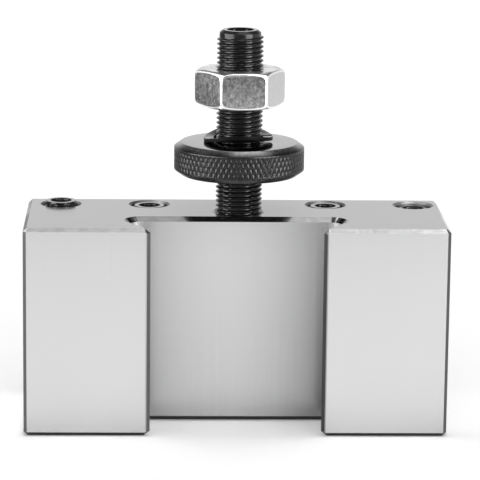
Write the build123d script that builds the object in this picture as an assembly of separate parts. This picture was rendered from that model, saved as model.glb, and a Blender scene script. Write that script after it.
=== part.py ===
from build123d import *
import os
from math import radians, sqrt, tan

# Lathe tool holder for a dovetail tool post. Sizes are in millimetres.
# X runs along the block, +Y from the dovetail face to the tool slot, +Z up.
# The origin is the middle of the block's underside.

# Holder block
block_length = 90.0
block_depth = 32.8
block_height = 45.0
edge_chamfer = 0.8
corner_chamfer = 0.7

# Dovetail pocket in the front face, open at the top and the bottom
mouth_width = 36.5
lip_chamfer = 0.7
pocket_depth = 12.4
flank_angle = 60.0
pocket_corner_radius = 3.0
pocket_chamfer = 1.0
pocket_chamfer_angle = 45.0

# Tool slot in the back face, open at both ends
slot_floor_thickness = 9.5
slot_height = 18.0
slot_depth = 15.0
slot_corner_radius = 1.0
slot_chamfer = 0.5

# Drilled holes, whose pattern stands a little to the right of the block's middle. The screws have
# one even spacing, with the stud in the place of a fifth.
hole_pattern_offset = 0.75
stud_behind_pocket = 6.4
screws_from_back = 6.1
screws_from_ends = 6.5
countersink_margin = 0.45

# Threads and sockets: crest to bore clearance, the flats of a metric thread as shares of the pitch,
# and the slope in degrees of the drilled cone under a socket
thread_clearance = 0.05
thread_depth_share = 0.6134
crest_flat_share = 0.125
root_flat_share = 0.25
drill_point_slope = 30.0

# Height stud
stud_diameter = 10.0
stud_pitch = 1.0
stud_rise = 39.6
stud_hole_depth = 13.0
stud_end_chamfer = 0.9
stud_socket_width = 5.0
stud_socket_depth = 6.0

# Knurled height nut
height_nut_diameter = 28.0
height_nut_thickness = 7.0
height_nut_above_block = 8.4
height_nut_chamfer_width = 1.5
height_nut_chamfer_height = 1.1
bore_chamfer = 0.5

# Spring washer on the height nut: a thin ring cut through at the right and bowed about X, so that
# its front and back stand up. It hangs a little to the left and leans, in degrees, right side up.
washer_clearance = 0.3
washer_width = 2.1
washer_thickness = 0.8
washer_bow_radius = 22.0
washer_gap = 1.2
washer_gap_turn = 4.0
washer_lean = 1.8
washer_shift = 0.2
washer_rest_gap = 0.01

# Hexagon lock nut
lock_nut_width = 17.0
lock_nut_thickness = 8.0
lock_nut_above_height_nut = 7.9
lock_nut_turn = 4.5
lock_nut_face_share = 0.95
lock_nut_chamfer_angle = 30.0

# Set screws, left to right, with the height of each one's top above the block
screw_diameter = 8.0
screw_pitch = 1.25
screw_length = 20.0
screw_end_chamfer = 0.8
screw_socket_width = 4.0
screw_socket_depth = 5.0
screw_cup_diameter = 5.0
screw_cup_depth = 1.2
screw_rises = (0.8, -0.2, -0.2, -0.65)

# Places that follow from the sizes
front_y = -block_depth / 2
back_y = block_depth / 2
pocket_floor_y = front_y + pocket_depth
slot_wall_y = back_y - slot_depth
slot_roof_z = slot_floor_thickness + slot_height
stud_y = pocket_floor_y + stud_behind_pocket
screw_y = back_y - screws_from_back
screw_spacing = (block_length / 2 - screws_from_ends) / 2
screw_xs = [hole_pattern_offset + step * screw_spacing for step in (-2, -1, 1, 2)]
stud_bore_radius = stud_diameter / 2 + thread_clearance
screw_bore_radius = screw_diameter / 2 + thread_clearance
stud_length = stud_rise + stud_hole_depth
stud_foot_z = block_height - stud_hole_depth
height_nut_z = block_height + height_nut_above_block
lock_nut_z = height_nut_z + height_nut_thickness + lock_nut_above_height_nut
outside = 1.0  # how far a cutter runs past the face that it opens


def turned(points):
    """A solid of revolution about Z from its half outline of (radius, height) points."""
    outline = Polyline(*[(r, 0, z) for r, z in points], close=True)
    return revolve(make_face(outline), Axis.Z)


def threaded_outline(diameter, pitch, length, end_chamfer):
    """Half outline of a threaded rod standing on Z = 0, its turns drawn as rings at the true pitch."""
    crest = diameter / 2
    depth = thread_depth_share * pitch
    root = crest - depth
    flank = (1 - crest_flat_share - root_flat_share) * pitch / 2
    points = [(0, 0), (crest - end_chamfer, 0), (crest, end_chamfer)]
    turns = int((length - 2 * end_chamfer) / pitch)
    first = (length - turns * pitch) / 2
    for turn in range(turns):
        z = first + turn * pitch + crest_flat_share * pitch / 2
        points += [
            (crest, z),
            (root, z + flank),
            (root, z + flank + root_flat_share * pitch),
            (crest, z + 2 * flank + root_flat_share * pitch),
        ]
    points += [(crest, length - end_chamfer), (crest - end_chamfer, length), (0, length)]
    return points


def hex_socket(width, depth, top_z):
    """Cutter for a key socket: a hexagon with a drilled cone at its bottom."""
    corner_radius = width / sqrt(3)
    prism = extrude(RegularPolygon(corner_radius, 6), depth + outside)
    cone = turned([(0, -width / 2 * tan(radians(drill_point_slope))), (width / 2, 0), (0, 0)])
    return Pos(0, 0, top_z - depth) * (prism + cone)


def countersunk_bore(radius, length, bottom_chamfer, top_chamfer):
    """Cutter for a bore from Z = 0 to its length, countersunk at 45 degrees at either end."""
    return turned(
        [
            (0, -outside),
            (radius + bottom_chamfer + outside, -outside),
            (radius, bottom_chamfer),
            (radius, length - top_chamfer),
            (radius + top_chamfer + outside, length + outside),
            (0, length + outside),
        ]
    )


def dovetail_pocket():
    """Cutter for the pocket: a mouth between two lips, 60 degree flanks and rounded corners."""
    mouth = mouth_width / 2
    nose_y = front_y + lip_chamfer
    corner_x = mouth + (pocket_depth - lip_chamfer) / tan(radians(flank_angle))
    half = [
        (mouth + lip_chamfer, front_y - outside),
        (mouth + lip_chamfer, front_y),
        (mouth, nose_y),
        (corner_x, pocket_floor_y),
    ]
    outline = make_face(Polyline(*half, *[(-x, y) for x, y in reversed(half)], close=True))
    corners = outline.vertices().group_by(Axis.Y)[-1]
    outline = fillet(corners, pocket_corner_radius)
    through = Pos(0, 0, -outside) * extrude(outline, block_height + 2 * outside)
    flare = extrude(outline, pocket_chamfer, taper=-pocket_chamfer_angle)
    top_flare = Pos(0, 0, block_height - pocket_chamfer) * flare
    bottom_flare = Pos(0, 0, pocket_chamfer) * Rot(0, 180, 0) * flare
    return through + top_flare + bottom_flare


def tool_slot():
    """Cutter for the slot along the back: chamfered at its mouth and rounded in its inner corners."""
    low, high, mouth_y = slot_floor_thickness, slot_roof_z, back_y - slot_chamfer
    points = [
        (slot_wall_y, low),
        (mouth_y, low),
        (back_y + outside, low - slot_chamfer - outside),
        (back_y + outside, high + slot_chamfer + outside),
        (mouth_y, high),
        (slot_wall_y, high),
    ]
    outline = make_face(Polyline(*[(0, y, z) for y, z in points], close=True))
    outline = fillet(outline.vertices().group_by(Axis.Y)[0], slot_corner_radius)
    half_length = block_length / 2 + outside
    cutter = extrude(outline, half_length, dir=(1, 0, 0))
    return cutter + extrude(outline, half_length, dir=(-1, 0, 0))


def holder_block():
    """The steel block with its pocket, tool slot, stud hole and four screw holes."""
    block = Pos(0, 0, block_height / 2) * Box(block_length, block_depth, block_height)
    block = chamfer(block.edges().filter_by(Axis.Z), corner_chamfer)
    block = chamfer(block.edges().filter_by(Axis.Z, reverse=True), edge_chamfer)
    block -= dovetail_pocket()
    block -= tool_slot()
    stud_hole = countersunk_bore(stud_bore_radius, stud_hole_depth, 0, bore_chamfer)
    stud_hole = split(stud_hole, Plane.XY, keep=Keep.TOP)
    block -= Pos(hole_pattern_offset, stud_y, stud_foot_z) * stud_hole
    screw_hole = countersunk_bore(screw_bore_radius, block_height - slot_roof_z, 0, countersink_margin)
    for x in screw_xs:
        block -= Pos(x, screw_y, slot_roof_z) * screw_hole
    return block


def height_stud():
    """The threaded stud that the two nuts run on, with a key socket in its top."""
    stud = turned(threaded_outline(stud_diameter, stud_pitch, stud_length, stud_end_chamfer))
    stud -= hex_socket(stud_socket_width, stud_socket_depth, stud_length)
    return Pos(hole_pattern_offset, stud_y, stud_foot_z) * stud


def height_nut():
    """The knurled nut whose underside rests on the tool post and sets the height."""
    rim = height_nut_diameter / 2
    face = rim - height_nut_chamfer_width
    top = height_nut_thickness
    nut = turned(
        [
            (0, 0),
            (face, 0),
            (rim, height_nut_chamfer_height),
            (rim, top - height_nut_chamfer_height),
            (face, top),
            (0, top),
        ]
    )
    nut -= countersunk_bore(stud_bore_radius, top, bore_chamfer, bore_chamfer)
    return Pos(hole_pattern_offset, stud_y, height_nut_z) * nut


def spring_washer():
    """The split washer between the nuts, which touches the height nut on the left."""
    inner = stud_diameter / 2 + washer_clearance
    outer = inner + washer_width
    bow = washer_bow_radius
    strip = Cylinder(bow, 2 * outer) - Cylinder(bow - washer_thickness, 2 * outer)
    strip = Pos(0, 0, bow) * Rot(0, 90, 0) * strip
    ring = Pos(0, 0, bow / 2) * (Cylinder(outer, bow) - Cylinder(inner, bow))
    cut = Pos(outer, 0, 0) * Box(3 * washer_width, washer_gap, bow)
    washer = (strip & ring) - Rot(0, 0, washer_gap_turn) * cut
    washer = Rot(0, -washer_lean, 0) * washer
    foot_z = washer.bounding_box().min.Z - washer_rest_gap
    seat_z = height_nut_z + height_nut_thickness
    return Pos(hole_pattern_offset - washer_shift, stud_y, seat_z - foot_z) * washer


def lock_nut():
    """The hexagon nut that locks the height nut, its corners turned off at 30 degrees."""
    half_width = lock_nut_width / 2
    corner_radius = lock_nut_width / sqrt(3)
    face_radius = lock_nut_face_share * half_width
    drop = (corner_radius - face_radius) * tan(radians(lock_nut_chamfer_angle))
    top = lock_nut_thickness
    turned_corners = turned(
        [
            (0, 0),
            (face_radius, 0),
            (corner_radius, drop),
            (corner_radius, top - drop),
            (face_radius, top),
            (0, top),
        ]
    )
    nut = extrude(RegularPolygon(corner_radius, 6), top) & turned_corners
    nut -= countersunk_bore(stud_bore_radius, top, bore_chamfer, bore_chamfer)
    return Pos(hole_pattern_offset, stud_y, lock_nut_z) * Rot(0, 0, lock_nut_turn) * nut


def set_screw(x, rise):
    """A cup point set screw that clamps the tool, with a key socket in its top."""
    screw = turned(threaded_outline(screw_diameter, screw_pitch, screw_length, screw_end_chamfer))
    screw -= hex_socket(screw_socket_width, screw_socket_depth, screw_length)
    screw -= turned([(0, 0), (screw_cup_diameter / 2, 0), (0, screw_cup_depth)])
    return Pos(x, screw_y, block_height + rise - screw_length) * screw


pieces = {
    "holder_block": holder_block(),
    "height_stud": height_stud(),
    "height_nut": height_nut(),
    "spring_washer": spring_washer(),
    "lock_nut": lock_nut(),
}
for number, (x, rise) in enumerate(zip(screw_xs, screw_rises), start=1):
    pieces[f"set_screw_{number}"] = set_screw(x, rise)

os.makedirs("parts", exist_ok=True)
for name, piece in pieces.items():
    export_step(piece, f"parts/{name}.step")
    print(name, round(piece.volume, 1), "mm3")
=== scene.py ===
import math
import bpy
import numpy as np
from mathutils import Matrix, Vector


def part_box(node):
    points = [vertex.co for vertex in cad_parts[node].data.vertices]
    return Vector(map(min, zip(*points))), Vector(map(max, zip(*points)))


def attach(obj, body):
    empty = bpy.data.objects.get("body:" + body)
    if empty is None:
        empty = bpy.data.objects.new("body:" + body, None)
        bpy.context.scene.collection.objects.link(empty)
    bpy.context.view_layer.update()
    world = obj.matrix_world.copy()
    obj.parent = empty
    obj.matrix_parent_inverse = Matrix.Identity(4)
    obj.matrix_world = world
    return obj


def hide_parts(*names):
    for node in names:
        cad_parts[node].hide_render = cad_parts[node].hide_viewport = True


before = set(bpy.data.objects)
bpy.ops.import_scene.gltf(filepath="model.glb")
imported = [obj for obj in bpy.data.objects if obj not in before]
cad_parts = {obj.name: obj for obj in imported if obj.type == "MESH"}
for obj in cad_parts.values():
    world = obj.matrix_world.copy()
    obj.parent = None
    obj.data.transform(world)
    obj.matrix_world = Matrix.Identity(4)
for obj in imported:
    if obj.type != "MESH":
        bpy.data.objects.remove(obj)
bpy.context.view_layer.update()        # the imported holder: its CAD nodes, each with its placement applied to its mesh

mm = 0.001


# Camera, as fitted to the photograph

cameraSet = {
    "place": (-0.018918, -0.581279, 0.163064),
    "turn": 1.969,      # degrees towards +X from straight ahead
    "tilt": 12.020,     # degrees down
    "roll": 0.657,      # degrees anticlockwise
    "lens": 206.85,
    "sensor": 36.0,
    "near": 0.01,
    "far": 20.0,
}


def makeCamera(s):
    data = bpy.data.cameras.new("camera")
    data.lens = s["lens"]
    data.sensor_width = s["sensor"]
    data.clip_start = s["near"]
    data.clip_end = s["far"]
    camera = bpy.data.objects.new("camera", data)
    bpy.context.scene.collection.objects.link(camera)
    turn, tilt, roll = (math.radians(s[k]) for k in ("turn", "tilt", "roll"))
    facing = Matrix.Rotation(-turn, 4, "Z") @ Matrix.Rotation(math.pi / 2 - tilt, 4, "X")
    camera.matrix_world = Matrix.Translation(s["place"]) @ facing @ Matrix.Rotation(roll, 4, "Z")
    bpy.context.scene.camera = camera


makeCamera(cameraSet)
print("camera set")


# Shader maths: a wrapped socket whose + - * / ** and comparisons add Math nodes

class Wire:
    def __init__(self, tree, socket):
        self.tree = tree
        self.socket = socket

    def math(self, operation, *others, swap=False):
        node = self.tree.nodes.new("ShaderNodeMath")
        node.operation = operation
        values = [self, *others]
        if swap:
            values.reverse()
        for slot, value in zip(node.inputs, values):
            if isinstance(value, Wire):
                self.tree.links.new(value.socket, slot)
            else:
                slot.default_value = value
        return Wire(self.tree, node.outputs[0])

    def __add__(self, other):
        return self.math("ADD", other)

    def __radd__(self, other):
        return self.math("ADD", other, swap=True)

    def __sub__(self, other):
        return self.math("SUBTRACT", other)

    def __rsub__(self, other):
        return self.math("SUBTRACT", other, swap=True)

    def __mul__(self, other):
        return self.math("MULTIPLY", other)

    def __rmul__(self, other):
        return self.math("MULTIPLY", other, swap=True)

    def __pow__(self, other):
        return self.math("POWER", other)

    def __gt__(self, other):
        return self.math("GREATER_THAN", other)

    def __lt__(self, other):
        return self.math("LESS_THAN", other)

    def size(self):
        return self.math("ABSOLUTE")

    def least(self, other):
        return self.math("MINIMUM", other)

    def most(self, other):
        return self.math("MAXIMUM", other)

    def rise(self, low, high):     # 0 below low, 1 above high, straight between
        return ((self - low) * (1 / (high - low))).least(1.0).most(0.0)


class Graph:
    # A node tree, whose nodes all come from one method. Sockets go by their names, with _ for a space.
    def __init__(self, tree):
        self.tree = tree

    def node(self, kind, settings=None, output=0, **inputs):
        node = self.tree.nodes.new("ShaderNode" + kind)
        for name, value in (settings or {}).items():
            setattr(node, name, value)
        self.fill(node, inputs)
        return Wire(self.tree, node.outputs[output])

    def fill(self, node, inputs):
        for name, value in inputs.items():
            slot = node.inputs[name.replace("_", " ")]
            if isinstance(value, Wire):
                self.tree.links.new(value.socket, slot)
            else:
                slot.default_value = value

    def parts(self, vector):
        split = self.node("SeparateXYZ", Vector=vector).socket.node
        return [Wire(self.tree, out) for out in split.outputs]

    def grey(self, value, tint=(1.0, 1.0, 1.0)):
        return self.node("CombineColor", Red=value * tint[0], Green=value * tint[1], Blue=value * tint[2])


class Finish(Graph):
    # One material: its node tree, its main shader and the place on the piece
    def __init__(self, name):
        self.material = bpy.data.materials.new(name)
        self.material.use_nodes = True
        super().__init__(self.material.node_tree)
        self.shader = self.tree.nodes["Principled BSDF"]

    def place(self):       # in metres, from the object's origin
        return self.node("TexCoord", output="Object")

    def facing(self):
        return self.parts(self.node("NewGeometry", output="Normal"))

    def noise(self, scale, detail, roughness=0.6):
        # From -0.5 to 0.5, with the scale in features a metre along X, Y and Z
        mapped = self.node("Mapping", Vector=self.place(), Scale=scale)
        return self.node("TexNoise", Vector=mapped, Scale=1.0, Detail=detail, Roughness=roughness) - 0.5

    def set(self, **values):
        self.fill(self.shader, values)

    def bump(self, height, distance):
        made = self.node("Bump", Height=height, Distance=distance, Strength=1.0)
        self.tree.links.new(made.socket, self.shader.inputs["Normal"])


# Ground steel of the block: a faint upright grain on the faces, a stronger one on the pocket's floor,
# a plain ground top, smoother chamfers along it and dull ones at the corners and the bottom. Painted shade
# darkens the faces towards the bottom, the pocket's floor towards its sides and lower end, the chamfers
# (the dull ones most), the holes and the curved walls in the pocket's notches. A painted reflection darkens
# the pocket's upper chamfer, which is lighter at its right end. Places are in metres from the block's
# middle.

steel = {
    "colour": 0.765,
    "tint": (1.0, 1.0, 1.004),
    "paintedHeightShade": 0.05,       # painted shade: how much darker the faces get from top to bottom
    "blockTop": 0.045,
    "paintedFootShade": 0.28,         # painted shade: how much darker they get over the lowest stretch besides
    "footTop": 0.022,
    "footCurve": 4,            # power of the way down that stretch
    "topColour": 0.46,
    "topDull": 0.25,           # share of the top's light that it scatters
    "roughness": 0.23,
    "topRoughness": 0.18,
    "pocketPlace": -0.0156,    # the pocket lies behind this place
    "mouthHalf": 0.0192,       # and its mouth within this
    # painted shade: the pocket's floor is painted darker than the faces
    "pocketColour": 0.70,
    "pocketMiddle": -0.0030,   # where the painted shade on the pocket's floor is least
    "paintedPocketSideShade": 0.37,        # painted shade: how much darker it gets towards its sides
    "pocketSpread": 52.0,      # one over the way from the lightest place to the darkest
    "paintedPocketFootShade": 0.22,        # painted shade: how much darker it gets towards its lower end
    "pocketFootTop": 0.036,
    # painted shade: the chamfers are painted darker than the faces
    "chamferPaintedColour": 0.40,
    "chamferWorn": 0.7,        # strength of the marks on it
    "chamferRoughness": 0.26,
    # painted reflection: the pocket's upper chamfer is painted dark for the black nut it mirrors
    "pocketChamferPaintedColour": 0.23,
    "pocketChamferPaintedLight": 0.10,    # painted light: how much lighter that chamfer is on the right, where the nut's painted reflection ends
    "chamferRightFrom": 0.008,
    "chamferRightTo": 0.012,
    "pocketChamferRoughness": 0.12,
    "notchHalf": 0.03,         # the notches at the pocket's ends lie within this
    "notchPaintedShade": 0.50,        # painted shade: how much darker their curved walls are
    "notchRoughness": 0.20,    # and how much duller
    "holesFrom": 0.005,        # the screw holes lie between these places
    "holesTo": 0.0155,
    "holesHalf": 0.0444,       # and within this
    # painted shade: the screw holes are painted dark
    "holePaintedShade": 0.19,
    "holePaintedLight": 0.10,         # painted light: how much lighter the hole of the sunk screw on the right is
    "sunkFrom": 0.03,
    "cornersFrom": 0.0155,     # the dull chamfers at the corners lie past this
    # painted shade: the dull chamfers are painted dark for the dark room they mirror
    "paintedDullColour": 0.10,
    "dullSpeckle": 0.05,
    "rightLipPaintedShade": 0.55,     # painted shade: how much darker the lip on the pocket's right is, which holds back a lamp's reflection
    "dullRoughness": 0.42,
    "grainScale": (2600, 2600, 20),
    "faceGrain": 0.03,
    "pocketGrain": 0.09,
    "grainRoughness": 0.1,
    "broadScale": (70, 70, 18),
    "broadShare": 0.03,
    "fineScale": (2400, 2400, 2400),
    "fineShare": 0.02,
    "fineBump": 0.3,
    "wornScale": (650, 650, 650),
    "grainHeight": 0.0000008,
    "facingFrom": 0.9,         # part of a face's direction from which it faces that way
    "uprightTo": 0.3,          # upward part to which a face is upright
    "underFrom": 0.5,          # downward part from which a chamfer belongs to the bottom
    "cornerFrom": 0.6,         # both level parts from which a chamfer belongs to a corner
}


def groundSteel(s):
    f = Finish("groundSteel")
    x, y, z = f.parts(f.place())
    nx, ny, nz = f.facing()
    top = nz > s["facingFrom"]
    upright = 1 - (nz.size() > s["uprightTo"])
    chamfer = (nz > s["uprightTo"]) * (nz < s["facingFrom"])
    inPocket = (y > s["pocketPlace"]).most(x.size() < s["mouthHalf"]) * (y < 0.0)
    pocket = inPocket * upright * (ny < -s["facingFrom"])
    notch = inPocket * upright * (ny.size() < s["facingFrom"]) * (x.size() < s["notchHalf"])
    hole = (y > s["holesFrom"]) * (y < s["holesTo"]) * (x.size() < s["holesHalf"]) * (upright + chamfer)
    corner = (nx.size() > s["cornerFrom"]) * (ny.size() > s["cornerFrom"]) * (y.size() > s["cornersFrom"])
    dullPaintedDark = corner.most((nz < -s["underFrom"]) * (nz > -s["facingFrom"]))
    rightLip = corner * (nx < 0.0) * (x > 0.0) * (y < 0.0)
    grain = f.noise(s["grainScale"], detail=3)
    broad = f.noise(s["broadScale"], detail=2, roughness=0.5)
    fine = f.noise(s["fineScale"], detail=2)
    worn = f.noise(s["wornScale"], detail=3)

    # Painted shade: the upright faces darken towards the bottom, most over the lowest stretch, where they
    # mirror the shaded floor
    low = 1 - z.rise(0.0, s["footTop"])
    foot = low ** s["footCurve"] * s["paintedFootShade"] + (1 - z.rise(0.0, s["blockTop"])) * s["paintedHeightShade"]
    base = s["colour"] * (1 - foot * upright) - top * (s["colour"] - s["topColour"])
    # Painted shade: the pocket's floor darkens towards its sides and its lower end, as in the lips' shadow
    aside = ((x - s["pocketMiddle"]).size() * s["pocketSpread"]).least(1.0)
    edge = aside * aside * s["paintedPocketSideShade"] + (1 - z.rise(0.0, s["pocketFootTop"])) * s["paintedPocketFootShade"]
    base = base + pocket * (s["pocketColour"] * (1 - edge) - base)
    # Painted shade: the curved walls in the notches are painted darker, which holds back their glints
    base = base * (1 - notch * s["notchPaintedShade"])
    # Painted reflection and shade: the pocket's upper chamfer is painted dark for the nut it mirrors and
    # lighter at its right end, and the other chamfers are painted darker than the faces; the worn marks are
    # the steel's own
    onRight = x.rise(s["chamferRightFrom"], s["chamferRightTo"])
    pocketChamferPainted = s["pocketChamferPaintedColour"] + onRight * s["pocketChamferPaintedLight"]
    chamferBase = s["chamferPaintedColour"] + inPocket * (pocketChamferPainted - s["chamferPaintedColour"])
    base = base + chamfer * (chamferBase * (1 + worn * s["chamferWorn"]) - base)
    # Painted shade: the screw holes are painted dark, with painted light round the sunk screw on the right
    base = base + hole * (s["holePaintedShade"] + (x > s["sunkFrom"]) * s["holePaintedLight"] - base)
    depth = s["faceGrain"] + pocket * (s["pocketGrain"] - s["faceGrain"])
    shade = base * (1 + grain * depth * upright * 2 + broad * s["broadShare"] + fine * s["fineShare"])
    # Painted shade: the dull chamfers at the corners and the bottom are painted dark, the lip on the
    # pocket's right darker still; their speckle is the steel's own
    dullPaintedShade = (s["paintedDullColour"] + fine * s["dullSpeckle"]) * (1 - rightLip * s["rightLipPaintedShade"])
    shade = shade * (1 - dullPaintedDark) + dullPaintedDark * dullPaintedShade

    rough = s["roughness"] - top * (s["roughness"] - s["topRoughness"])
    rough = rough + grain * s["grainRoughness"] * upright
    chamferRough = s["chamferRoughness"] + inPocket * (s["pocketChamferRoughness"] - s["chamferRoughness"])
    rough = rough + chamfer * (chamferRough - rough) + notch * s["notchRoughness"]
    rough = rough + dullPaintedDark.most(hole) * (s["dullRoughness"] - s["roughness"])
    f.set(Base_Color=f.grey(shade, s["tint"]), Metallic=1 - top * s["topDull"], Roughness=rough)
    f.bump(grain * upright + fine * s["fineBump"], s["grainHeight"])
    return f.material


# Black steel of the stud, the screws and the knurled nut, and the duller one of the washer

blackSteel = {
    "colour": 0.012,
    "tint": (1.0, 1.0, 1.02),
    "roughness": 0.20,
    "ior": 1.42,
    "faceFrom": 0.95,          # upward part of a face's direction from which it is turned flat and shines
    "faceShade": 0.36,
    "faceRoughness": 0.10,
    "wornShade": 0.36,         # of the steel that shows where an edge is worn
    "wornMottle": 1.5,
    "wornMetal": 0.1,          # wear from which an edge is bare metal
    "mottleScale": (900, 900, 900),
    "mottleRoughness": 0.15,
    "mottleHeight": 0.000003,
    "faceSmooth": 0.8,         # share of the bumps that a turned face has lost
}
springSteel = {
    **blackSteel,
    "colour": 0.004,
    "roughness": 0.45,
    "ior": 1.15,
    "faceFrom": 0.90,
    "faceShade": 0.26,
    "faceRoughness": 0.22,
    "wornShade": 0.0,
}


def blackOxide(name, s):
    f = Finish(name)
    face = f.facing()[2] > s["faceFrom"]
    mottle = f.noise(s["mottleScale"], detail=3)
    worn = f.node("Attribute", {"attribute_name": "wear"}, output="Fac") * (1 + mottle * s["wornMottle"])
    shade = s["colour"] * (1 + mottle) + face * (s["faceShade"] - s["colour"])
    shade = shade + worn * (s["wornShade"] - s["colour"])
    rough = s["roughness"] + mottle * s["mottleRoughness"] - face * (s["roughness"] - s["faceRoughness"])
    f.set(Base_Color=f.grey(shade, s["tint"]), Metallic=face.most(worn.rise(0.0, s["wornMetal"])))
    f.set(Roughness=rough, IOR=s["ior"])
    f.bump(mottle * (1 - face * s["faceSmooth"]), s["mottleHeight"])
    return f.material


# Bright zinc of the lock nut: mottled flat faces, lighter rounded edges and ends, and painted light on the
# face on the right, which is lighter and less mottled

zinc = {
    "turn": 4.5,               # of the hexagon, in degrees
    "flatAngles": (30, 90, 150),
    "tint": (1.0, 1.0, 1.01),
    "flatFrom": 0.992,         # cosine of the turn at which a flat face gives way to a rounded corner
    "uprightTo": 0.1,
    "colour": 0.46,
    "paintedLightRightColour": 0.60,       # painted light: of the face on the right, lit more than the others
    "rightFrom": 0.6,
    "topColour": 0.95,
    "darkest": 0.1,
    "roughness": 0.22,
    "mottle": 2.8,
    # painted light: the smaller mottle of the face on the right
    "paintedLightRightMottle": 0.4,
    "mottleScale": (1500, 1500, 1500),
    "mottleRoughness": 0.2,
    "mottleHeight": 0.0000015,
    "streakScale": (2600, 2600, 260),
    "streakShare": 0.3,
}


def brightZinc(s):
    f = Finish("brightZinc")
    nx, ny, nz = f.facing()
    angles = np.radians(s["flatAngles"]) + math.radians(s["turn"])
    flats = [(nx * math.cos(a) + ny * math.sin(a)).size() for a in angles]
    side = (flats[0].most(flats[1]).most(flats[2]) > s["flatFrom"]) * (nz.size() < s["uprightTo"])
    # Painted light: the face on the right is painted lighter and less mottled than the others
    right = nx > s["rightFrom"]
    mottle = f.noise(s["mottleScale"], detail=4, roughness=0.7)
    streak = f.noise(s["streakScale"], detail=3)
    amount = side * (s["mottle"] - right * (s["mottle"] - s["paintedLightRightMottle"]))
    base = s["colour"] + right * (s["paintedLightRightColour"] - s["colour"])
    base = base + (1 - side) * (s["topColour"] - base)
    shade = base * (1 + (mottle + streak * s["streakShare"]) * amount)
    f.set(Base_Color=f.grey(shade.least(1.0).most(s["darkest"]), s["tint"]), Metallic=1.0)
    f.set(Roughness=s["roughness"] + mottle * s["mottleRoughness"] * side)
    f.bump(mottle * side, s["mottleHeight"])
    return f.material


finishes = {
    "steel": groundSteel(steel),
    "black": blackOxide("blackOxide", blackSteel),
    "spring": blackOxide("springBlack", springSteel),
    "zinc": brightZinc(zinc),
}
print("finishes made:", ", ".join(finishes))


# Surfaces round an upright axis

def roundedLine(points, rounding, steps=3, longest=0.45):
    # The line through the points with each corner cut back by the rounding, or by the longest share
    # of its shorter side, and bridged by a curve that is tangent to both sides:
    # (1-t)^2 start + 2t(1-t) corner + t^2 end.
    p = np.array(points, float)
    before, after = np.roll(p, 1, 0), np.roll(p, -1, 0)
    reach = np.minimum(np.linalg.norm(p - before, axis=1), np.linalg.norm(after - p, axis=1)) * longest
    reach = np.minimum(rounding, reach)[:, None]
    start = p + (before - p) / np.linalg.norm(before - p, axis=1)[:, None] * reach
    end = p + (after - p) / np.linalg.norm(after - p, axis=1)[:, None] * reach
    t = np.linspace(0, 1, steps + 1)[None, :, None]
    curve = (1 - t) ** 2 * start[:, None] + 2 * t * (1 - t) * p[:, None] + t ** 2 * end[:, None]
    return curve.reshape(-1, 2)


def closedPiece(name, points, body, node, finish, poles=None, crease=30):
    # A grid of points whose last column joins the first. With poles the first and last rows close
    # on those two points, and without them the last row joins the first.
    rows, columns = points.shape[:2]
    index = np.arange(rows * columns).reshape(rows, columns)
    beside = np.roll(index, -1, 1)
    above = np.roll(index, -1, 0)
    aboveBeside = np.roll(above, -1, 1)
    quads = np.stack([index, beside, aboveBeside, above], -1)
    points = points.reshape(-1, 3)
    faces = []
    if poles:
        quads = quads[:-1]
        points = np.vstack([points, poles])
        low = np.full(columns, rows * columns)
        faces = np.stack([low, beside[0], index[0]], -1).tolist()
        faces += np.stack([low + 1, index[-1], beside[-1]], -1).tolist()
    faces = quads.reshape(-1, 4).tolist() + faces
    mesh = bpy.data.meshes.new(name)
    mesh.from_pydata((points * mm).tolist(), [], faces)
    mesh.shade_smooth()
    mesh.set_sharp_from_angle(angle=math.radians(crease))
    mesh.materials.append(finishes[finish])
    piece = bpy.data.objects.new(name, mesh)
    bpy.context.scene.collection.objects.link(piece)
    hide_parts(node)
    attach(piece, body)
    return piece


def turnedPoints(centre, angle, radius, height):
    # Each point is centre + radius (cos angle, sin angle) at its height. The rows run along the
    # profile and the columns round the axis.
    angle = np.broadcast_to(angle, radius.shape)
    return np.stack([centre[0] + radius * np.cos(angle), centre[1] + radius * np.sin(angle), height], -1)


def threadRadius(crest, depth, pitch, angle, height):
    # Distance from the axis of a right-handed thread: the crest, less the depth times how far the
    # place has gone down the flank. A turn is 1/8 crest, 1/4 root and two flanks.
    along = (height / pitch - angle / (2 * np.pi) + 0.5) % 1
    offset = np.abs(along - 0.5)
    return crest - depth * np.clip((offset - 1 / 16) / (0.5 - 1 / 16 - 1 / 8), 0, 1)


def hexRadius(acrossFlats, rounding, angle):
    # Distance from the axis of a hexagon with corners on angle 0, 60 and so on: the flat is at half
    # the width over the cosine of the angle from its middle, and a circle of the rounding fills each corner.
    half = acrossFlats / 2
    fromCorner = (angle + np.pi / 6) % (np.pi / 3) - np.pi / 6
    flat = half / np.cos(np.abs(fromCorner) - np.pi / 6)
    hub = (half - rounding) / math.cos(math.pi / 6)
    meet = math.atan2(rounding * 0.5, hub + rounding * math.cos(math.pi / 6))
    inside = np.maximum(rounding ** 2 - (hub * np.sin(fromCorner)) ** 2, 0)
    corner = hub * np.cos(fromCorner) + np.sqrt(inside)
    return np.where(np.abs(fromCorner) < meet, corner, flat)


def nodeAxis(node):
    # Middle of a node's box in plan, and its lowest and highest place, in millimetres
    low, high = (np.array(v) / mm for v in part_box(node))
    return (low[:2] + high[:2]) / 2, low[2], high[2]


endSet = {                     # what the ends of the stud and of the screws share, in millimetres
    "rim": 0.25,               # of the flat end, inside its chamfer
    "lip": 0.12,               # width of the small chamfer at the socket's mouth
    "lipDrop": 0.08,
    "ledge": 0.02,             # drop from the mouth's wall to the cone below it
    "keyRounding": 0.12,       # of the hexagon's corners
    "drillRadius": 0.3,        # of the cone under the socket, as shares of the key's size
    "drillDrop": 0.2,
    "drillTip": 0.28,
    "taper": 0.999,            # of the key socket, from mouth to floor
    "cupRadius": 0.3,          # of the hollow in the point, as shares of the cup's radius and depth
    "cupHeight": 0.7,
}


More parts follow.
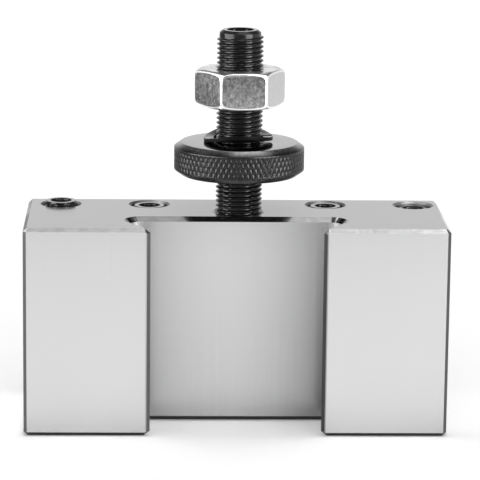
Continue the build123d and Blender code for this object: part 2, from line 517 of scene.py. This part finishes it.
def threadedRod(name, body, s, ends=endSet):
    # Rows from the foot up the thread, over the end chamfer, across the top and down the key socket.
    # Towards an end the radius shrinks by the end chamfer times (1 - way from the end / length) ^ curve.
    centre, foot, top = nodeAxis(name)
    crest = s["diameter"] / 2
    angle = np.linspace(0, 2 * np.pi, s["columns"], endpoint=False)[None, :]
    turns = round((top - foot) / s["pitch"] * s["rowsPerTurn"])
    height = np.linspace(foot, top, turns + 1)[:, None]
    fromEnd = np.minimum(height - foot, top - height)
    cone = crest - s["endChamfer"] * np.clip(1 - fromEnd / s["endLength"], 0, 1) ** s["endCurve"]
    plain = crest - s["depth"] * (top - height < s["plainEnd"])
    thread = threadRadius(crest, s["depth"], s["pitch"], angle, height)
    radius = np.minimum(thread, np.minimum(cone, plain))
    height = np.broadcast_to(height, radius.shape)
    key = hexRadius(s["key"], ends["keyRounding"], angle)
    mouth = np.maximum(key, s["key"] / 2 + s["mouth"])
    floor = top - s["keyDepth"]
    flat = 0 * key
    below = [
        (s["cup"] * ends["cupRadius"] + flat, foot + s["cupDepth"] * ends["cupHeight"] + flat),
        (s["cup"] + flat, foot + flat),
    ]
    above = [
        (crest - s["endChamfer"] - ends["rim"] + flat, top + flat),
        (mouth + ends["lip"], top + flat),
        (mouth, top - ends["lipDrop"] + flat),
        (mouth, top - s["mouthDepth"] + flat),
        (key, top - s["mouthDepth"] - ends["ledge"] - (mouth - key)),
        (key * ends["taper"], floor + flat),
        (key * ends["drillRadius"], floor - s["key"] * ends["drillDrop"] + flat),
    ]
    radius = np.vstack([r for r, z in below] + [radius] + [r for r, z in above])
    height = np.vstack([z for r, z in below] + [height] + [z for r, z in above])
    points = turnedPoints(centre, angle, radius, height)
    poles = [[*centre, foot + s["cupDepth"]], [*centre, floor - s["key"] * ends["drillTip"]]]
    closedPiece(name + "_thread", points, body, name, "black", poles)


studSet = {
    "diameter": 10.0,
    "pitch": 1.0,
    "depth": 0.55,
    "endChamfer": 1.3,
    "endLength": 1.7,
    "endCurve": 2,             # 1 is a straight chamfer, more is a rounded one
    "plainEnd": 1.4,           # of the upper end, turned down to the thread's root
    "key": 5.0,
    "keyDepth": 6.0,
    "mouth": 0.33,             # of the recess round the socket's upper end
    "mouthDepth": 0.9,
    "cup": 2.0,
    "cupDepth": 0.0,
    "columns": 96,
    "rowsPerTurn": 12,
}
screwSet = {
    "diameter": 8.0,
    "pitch": 1.25,
    "depth": 0.77,
    "endChamfer": 0.8,
    "endLength": 0.8,
    "endCurve": 1,
    "plainEnd": 0.0,
    "key": 4.0,
    "keyDepth": 5.0,
    "mouth": 0.25,
    "mouthDepth": 0.25,
    "cup": 2.5,
    "cupDepth": 1.2,
    "columns": 72,
    "rowsPerTurn": 12,
}

threadedRod("height_stud", "holder", studSet)
for name in ("set_screw_1", "set_screw_2", "set_screw_3", "set_screw_4"):
    threadedRod(name, name, screwSet)
print("stud and set screws made")


# Knurled height nut

knurlSet = {
    "rim": 14.0,
    "face": 12.5,
    "chamfer": 1.1,
    "bore": 5.05,
    "boreChamfer": 0.5,
    "diamonds": 78,
    "diamondHeight": 2.25,
    "depth": 0.13,
    "edgeShare": 0.13,         # of a diamond, taken by the edge round it
    "flankRate": 1.6,          # how fast a diamond sinks from its edge
    "samples": 10,             # across a diamond, each way
    "margin": 0.25,            # of plain band above and below the knurl
    "edgeWear": 0.10,
    "chamferWear": 1.0,        # of the upper chamfer, which is turned smooth
    "rounding": 0.12,
    "crease": 28,
}


def knurledNut(s):
    # The band carries a net of raised edges, which are two sets of helices: turns round the rim plus
    # and minus the height, each in diamonds. The radius is the rim on an edge and sinks to the rim less
    # the depth in the middle of a diamond. The wear falls from an edge to 0 past the edge's share.
    centre, low, high = nodeAxis("height_nut")
    thick = high - low
    line = [
        (s["face"], 0), (s["rim"], s["chamfer"]), (s["rim"], thick - s["chamfer"]), (s["face"], thick),
        (s["bore"] + s["boreChamfer"], thick), (s["bore"], thick - s["boreChamfer"]),
        (s["bore"], s["boreChamfer"]), (s["bore"] + s["boreChamfer"], 0),
    ]
    profile = roundedLine(line, s["rounding"])
    upOutside = np.argmax(np.diff(profile[:, 1]) * (profile[1:, 0] > s["face"]))
    step = s["diamondHeight"] / s["samples"]
    bandLow, bandHigh = profile[upOutside, 1], profile[upOutside + 1, 1]
    rows = np.arange(math.ceil(bandLow / step) + 1, math.floor(bandHigh / step)) * step
    profile = np.insert(profile, upOutside + 1, np.stack([rows * 0 + s["rim"], rows], 1), 0)
    angle = np.linspace(0, 2 * np.pi, s["diamonds"] * s["samples"], endpoint=False)[None, :]
    radius = np.repeat(profile[:, :1], angle.size, 1)
    height = np.repeat(profile[:, 1:], angle.size, 1)
    turn = s["diamonds"] * angle / (2 * np.pi)
    rise = height / s["diamondHeight"]
    away = np.minimum(np.abs((turn + rise) % 1 - 0.5), np.abs((turn - rise) % 1 - 0.5)) * 2
    inBand = (height > bandLow + s["margin"]) & (height < bandHigh - s["margin"]) & (radius > s["face"])
    sunk = np.clip((away - s["edgeShare"] / 2) * s["flankRate"], 0, 1) * s["depth"]
    radius = np.where(inBand, radius - sunk, radius)
    wear = np.where(inBand, np.clip(1 - away / s["edgeShare"], 0, 1) * s["edgeWear"], 0)
    onChamfer = (height > thick - s["chamfer"] + s["rounding"]) & (height < thick) & (radius > s["face"])
    wear = np.where(onChamfer, s["chamferWear"], wear)
    nut = closedPiece("height_nut_knurled", turnedPoints(centre, angle, radius, height + low), "height_nut",
                      "height_nut", "black", crease=s["crease"])
    nut.data.attributes.new("wear", "FLOAT", "POINT").data.foreach_set("value", wear.ravel())


knurledNut(knurlSet)
print("knurled nut made")


# Spring washer on the knurled nut

washerSet = {
    "bore": 5.3,
    "width": 2.1,
    "thickness": 0.8,
    "bowRadius": 22.0,
    "gap": 1.2,
    "gapTurn": 4.0,            # degrees from +X to the gap
    "lean": 1.8,               # degrees, with the +X side up
    "rounding": 0.12,
    "columns": 120,
}


def springWasher(s):
    # A rounded rectangle is carried round the stud from one side of the gap to the other. Each point is
    # at radius (cos turn, sin turn), bent round a cylinder along X: its height is the bow's radius less
    # the root of ((bow radius - height in the rectangle) ^ 2 - y ^ 2). The whole ring then leans about Y.
    low, high = (np.array(v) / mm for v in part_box("spring_washer"))
    across, thick = s["width"] / 2, s["thickness"]
    section = roundedLine([(across, 0), (across, thick), (-across, thick), (-across, 0)], s["rounding"])
    halfGap = math.asin(s["gap"] / 2 / (s["bore"] + across))
    turn = math.radians(s["gapTurn"]) - np.linspace(halfGap, 2 * np.pi - halfGap, s["columns"])[:, None]
    radius = s["bore"] + across + section[None, :, 0]
    x, y = radius * np.cos(turn), radius * np.sin(turn)
    z = s["bowRadius"] - np.sqrt((s["bowRadius"] - section[None, :, 1]) ** 2 - y ** 2)
    lean = math.radians(s["lean"])
    x, z = x * math.cos(lean) - z * math.sin(lean), x * math.sin(lean) + z * math.cos(lean)
    points = np.stack([x + low[0] - x.min(), y + (low[1] + high[1]) / 2, z + low[2] - z.min()], -1)
    poles = [points[0].mean(0), points[-1].mean(0)]
    closedPiece("spring_washer_bowed", points, "height_nut", "spring_washer", "spring", poles)


springWasher(washerSet)
print("spring washer made")


# Hexagon lock nut

lockSet = {
    "flats": 17.0,
    "turn": zinc["turn"],
    "cornerRounding": 0.75,
    "face": 8.3,
    "slope": 20.0,
    "rounding": 0.5,
    "panelCorner": 0.9,        # radius of the corners of each flat face
    "bore": 5.05,
    "boreChamfer": 0.5,
    "mouthStep": 0.06,         # half the width and the drop of the bore chamfer's upper edge
    "columns": ((-6.5, 6.5, 15), (7.5, 15, 9), (18, 42, 9), (45, 52.5, 9)),    # degrees from a corner
    "edgeRows": 9,
    "crease": 35,
}


def hexNut(s):
    # The sides stand at the hexagon's radius, and the ends are flat as far as the face's radius, past
    # which they fall away at the slope. A curve tangent to side and end rounds the edge between them,
    # and it starts lower near the hexagon's corners, by a circle, so that the flats have round corners.
    centre, low, high = nodeAxis("lock_nut")
    thick = high - low
    apart = np.concatenate([np.linspace(*part) for part in s["columns"]])
    angle = np.radians((apart[None, :] + 60 * np.arange(6)[:, None]).reshape(1, -1))
    side = hexRadius(s["flats"], s["cornerRounding"], angle)
    fall = math.tan(math.radians(s["slope"]))

    def end(radius):
        return thick - np.maximum(radius - s["face"], 0) * fall

    t = np.linspace(0, 1, s["edgeRows"])[:, None]
    fromCorner = np.abs(np.radians((np.degrees(angle) + 30) % 60 - 30))
    along = side * np.sin(fromCorner) - s["cornerRounding"] * 0.5
    near = np.clip(s["panelCorner"] - along, 0, s["panelCorner"])
    lower = s["rounding"] + s["panelCorner"] - np.sqrt(s["panelCorner"] ** 2 - near ** 2)
    edgeRadius = side - t ** 2 * s["rounding"]
    edgeHeight = (1 - t) ** 2 * (end(side) - lower) + 2 * t * (1 - t) * end(side)
    edgeHeight = edgeHeight + t ** 2 * end(side - s["rounding"])
    flat = 0 * side
    inner = [
        (s["bore"] + s["boreChamfer"] + s["mouthStep"] + flat, thick + flat),
        (s["bore"] + s["boreChamfer"] - s["mouthStep"] + flat, thick - s["mouthStep"] + flat),
        (s["bore"] + flat, thick - s["boreChamfer"] + flat),
    ]
    upper = np.vstack([edgeRadius] + [r for r, z in inner])
    upperHeight = np.vstack([edgeHeight] + [z for r, z in inner])
    radius = np.vstack([upper, upper[::-1]])
    height = np.vstack([upperHeight, (thick - upperHeight)[::-1]])
    points = turnedPoints(centre, angle + math.radians(s["turn"]), radius, height + low)
    closedPiece("lock_nut_hexagon", points, "lock_nut", "lock_nut", "zinc", crease=s["crease"])


hexNut(lockSet)
print("lock nut made")


# The block keeps its own mesh

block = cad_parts["holder_block"]
block.data.materials.clear()
block.data.materials.append(finishes["steel"])
print("block finished")


# Floor, light and reflections. The paper under the holder ends in front and on the left, where what
# shines shows the dark room. The camera sees white everywhere.

stageSet = {
    "floorSize": 8.0,
    "paperColour": 0.88,
    "paperGlow": 0.02,
    "farGlow": 0.15,           # more of it away from the holder, where the lamp doesn't reach
    "farFrom": 0.07,
    "farTo": 0.35,
    "paperRoughness": 0.9,
    "paperFront": -0.34,
    "paperLeft": -0.20,
    "tableColour": 0.20,
    "edgeBlur": 0.03,
    "lowLevel": 0.85,          # what shines shows this near the horizon and the next overhead
    "highLevel": 0.13,
    "levelFrom": 0.26,         # sine of the elevation at which the one turns to the other
    "levelTo": 0.50,
    "frontShade": 0.65,        # how much darker it is on the photographer's side
    "frontFrom": -0.75,        # Y part of the direction at which it is darkest
    "frontTo": -0.35,
    "lowLight": 0.55,          # what is dull gets this from the horizon, and more from above
    "highLight": 1.20,
}


def makeFloor(s):
    mesh = bpy.data.meshes.new("floor")
    h = s["floorSize"] / 2
    mesh.from_pydata([(-h, -h, 0), (h, -h, 0), (h, h, 0), (-h, h, 0)], [], [(0, 1, 2, 3)])
    floor = bpy.data.objects.new("floor", mesh)
    bpy.context.scene.collection.objects.link(floor)
    f = Finish("paper")
    x, y, z = f.parts(f.place())
    inFront = 1 - y.rise(s["paperFront"] - s["edgeBlur"], s["paperFront"] + s["edgeBlur"])
    onLeft = 1 - x.rise(s["paperLeft"] - s["edgeBlur"], s["paperLeft"] + s["edgeBlur"])
    table = inFront.most(onLeft) * f.node("LightPath", output="Is Glossy Ray")
    shade = s["paperColour"] - table * (s["paperColour"] - s["tableColour"])
    away = (x * x + y * y) ** 0.5
    glow = s["paperGlow"] + away.rise(s["farFrom"], s["farTo"]) * s["farGlow"]
    seen = f.node("LightPath", output="Is Camera Ray")
    f.set(Base_Color=f.grey(shade), Roughness=s["paperRoughness"], Specular_IOR_Level=0.0)
    f.set(Emission_Color=f.grey(seen * glow), Emission_Strength=1.0)
    mesh.materials.append(f.material)


def makeWorld(s):
    world = bpy.data.worlds.new("studio")
    bpy.context.scene.world = world
    world.use_nodes = True
    g = Graph(world.node_tree)
    camera = g.node("LightPath", output="Is Camera Ray")
    glossy = g.node("LightPath", output="Is Glossy Ray")
    x, y, z = g.parts(g.node("TexCoord", output="Generated"))
    shown = s["lowLevel"] - z.rise(s["levelFrom"], s["levelTo"]) * (s["lowLevel"] - s["highLevel"])
    shown = shown * (1 - (1 - y.rise(s["frontFrom"], s["frontTo"])) * s["frontShade"])
    light = s["lowLight"] + z.most(0.0) * (s["highLight"] - s["lowLight"])
    level = light + camera * (1 - light) + glossy * (shown - light)
    g.fill(world.node_tree.nodes["Background"], {"Color": (1, 1, 1, 1), "Strength": level})


lamps = {
    "overhead": {"place": (0.10, -0.02, 0.70), "aim": (0.0, 0.0, 0.03), "size": (0.50, 0.36), "power": 0.7,
                 "lightsRoom": True},
    "leftPanel": {"place": (-0.20, -0.08, 0.17), "aim": (0.0, 0.0, 0.07), "size": (0.30, 0.32), "power": 1.9,
                  "lightsRoom": False},
    "rightPanel": {"place": (0.16, -0.14, 0.17), "aim": (0.0, 0.0, 0.07), "size": (0.18, 0.32), "power": 1.4,
                   "lightsRoom": False},
}


def makeLamp(name, s):
    data = bpy.data.lights.new(name, "AREA")
    data.shape = "RECTANGLE"
    data.size, data.size_y = s["size"]
    data.energy = s["power"]
    lamp = bpy.data.objects.new(name, data)
    bpy.context.scene.collection.objects.link(lamp)
    lamp.location = s["place"]
    aim = Vector(s["aim"]) - Vector(s["place"])
    lamp.rotation_euler = aim.to_track_quat("-Z", "Y").to_euler()
    lamp.visible_camera = False
    lamp.visible_diffuse = s["lightsRoom"]      # the panels only shine in what is glossy


makeFloor(stageSet)
makeWorld(stageSet)
for name, lampSet in lamps.items():
    makeLamp(name, lampSet)
print("floor, world and lamps made")

view = bpy.context.scene.view_settings
view.view_transform = "Standard"
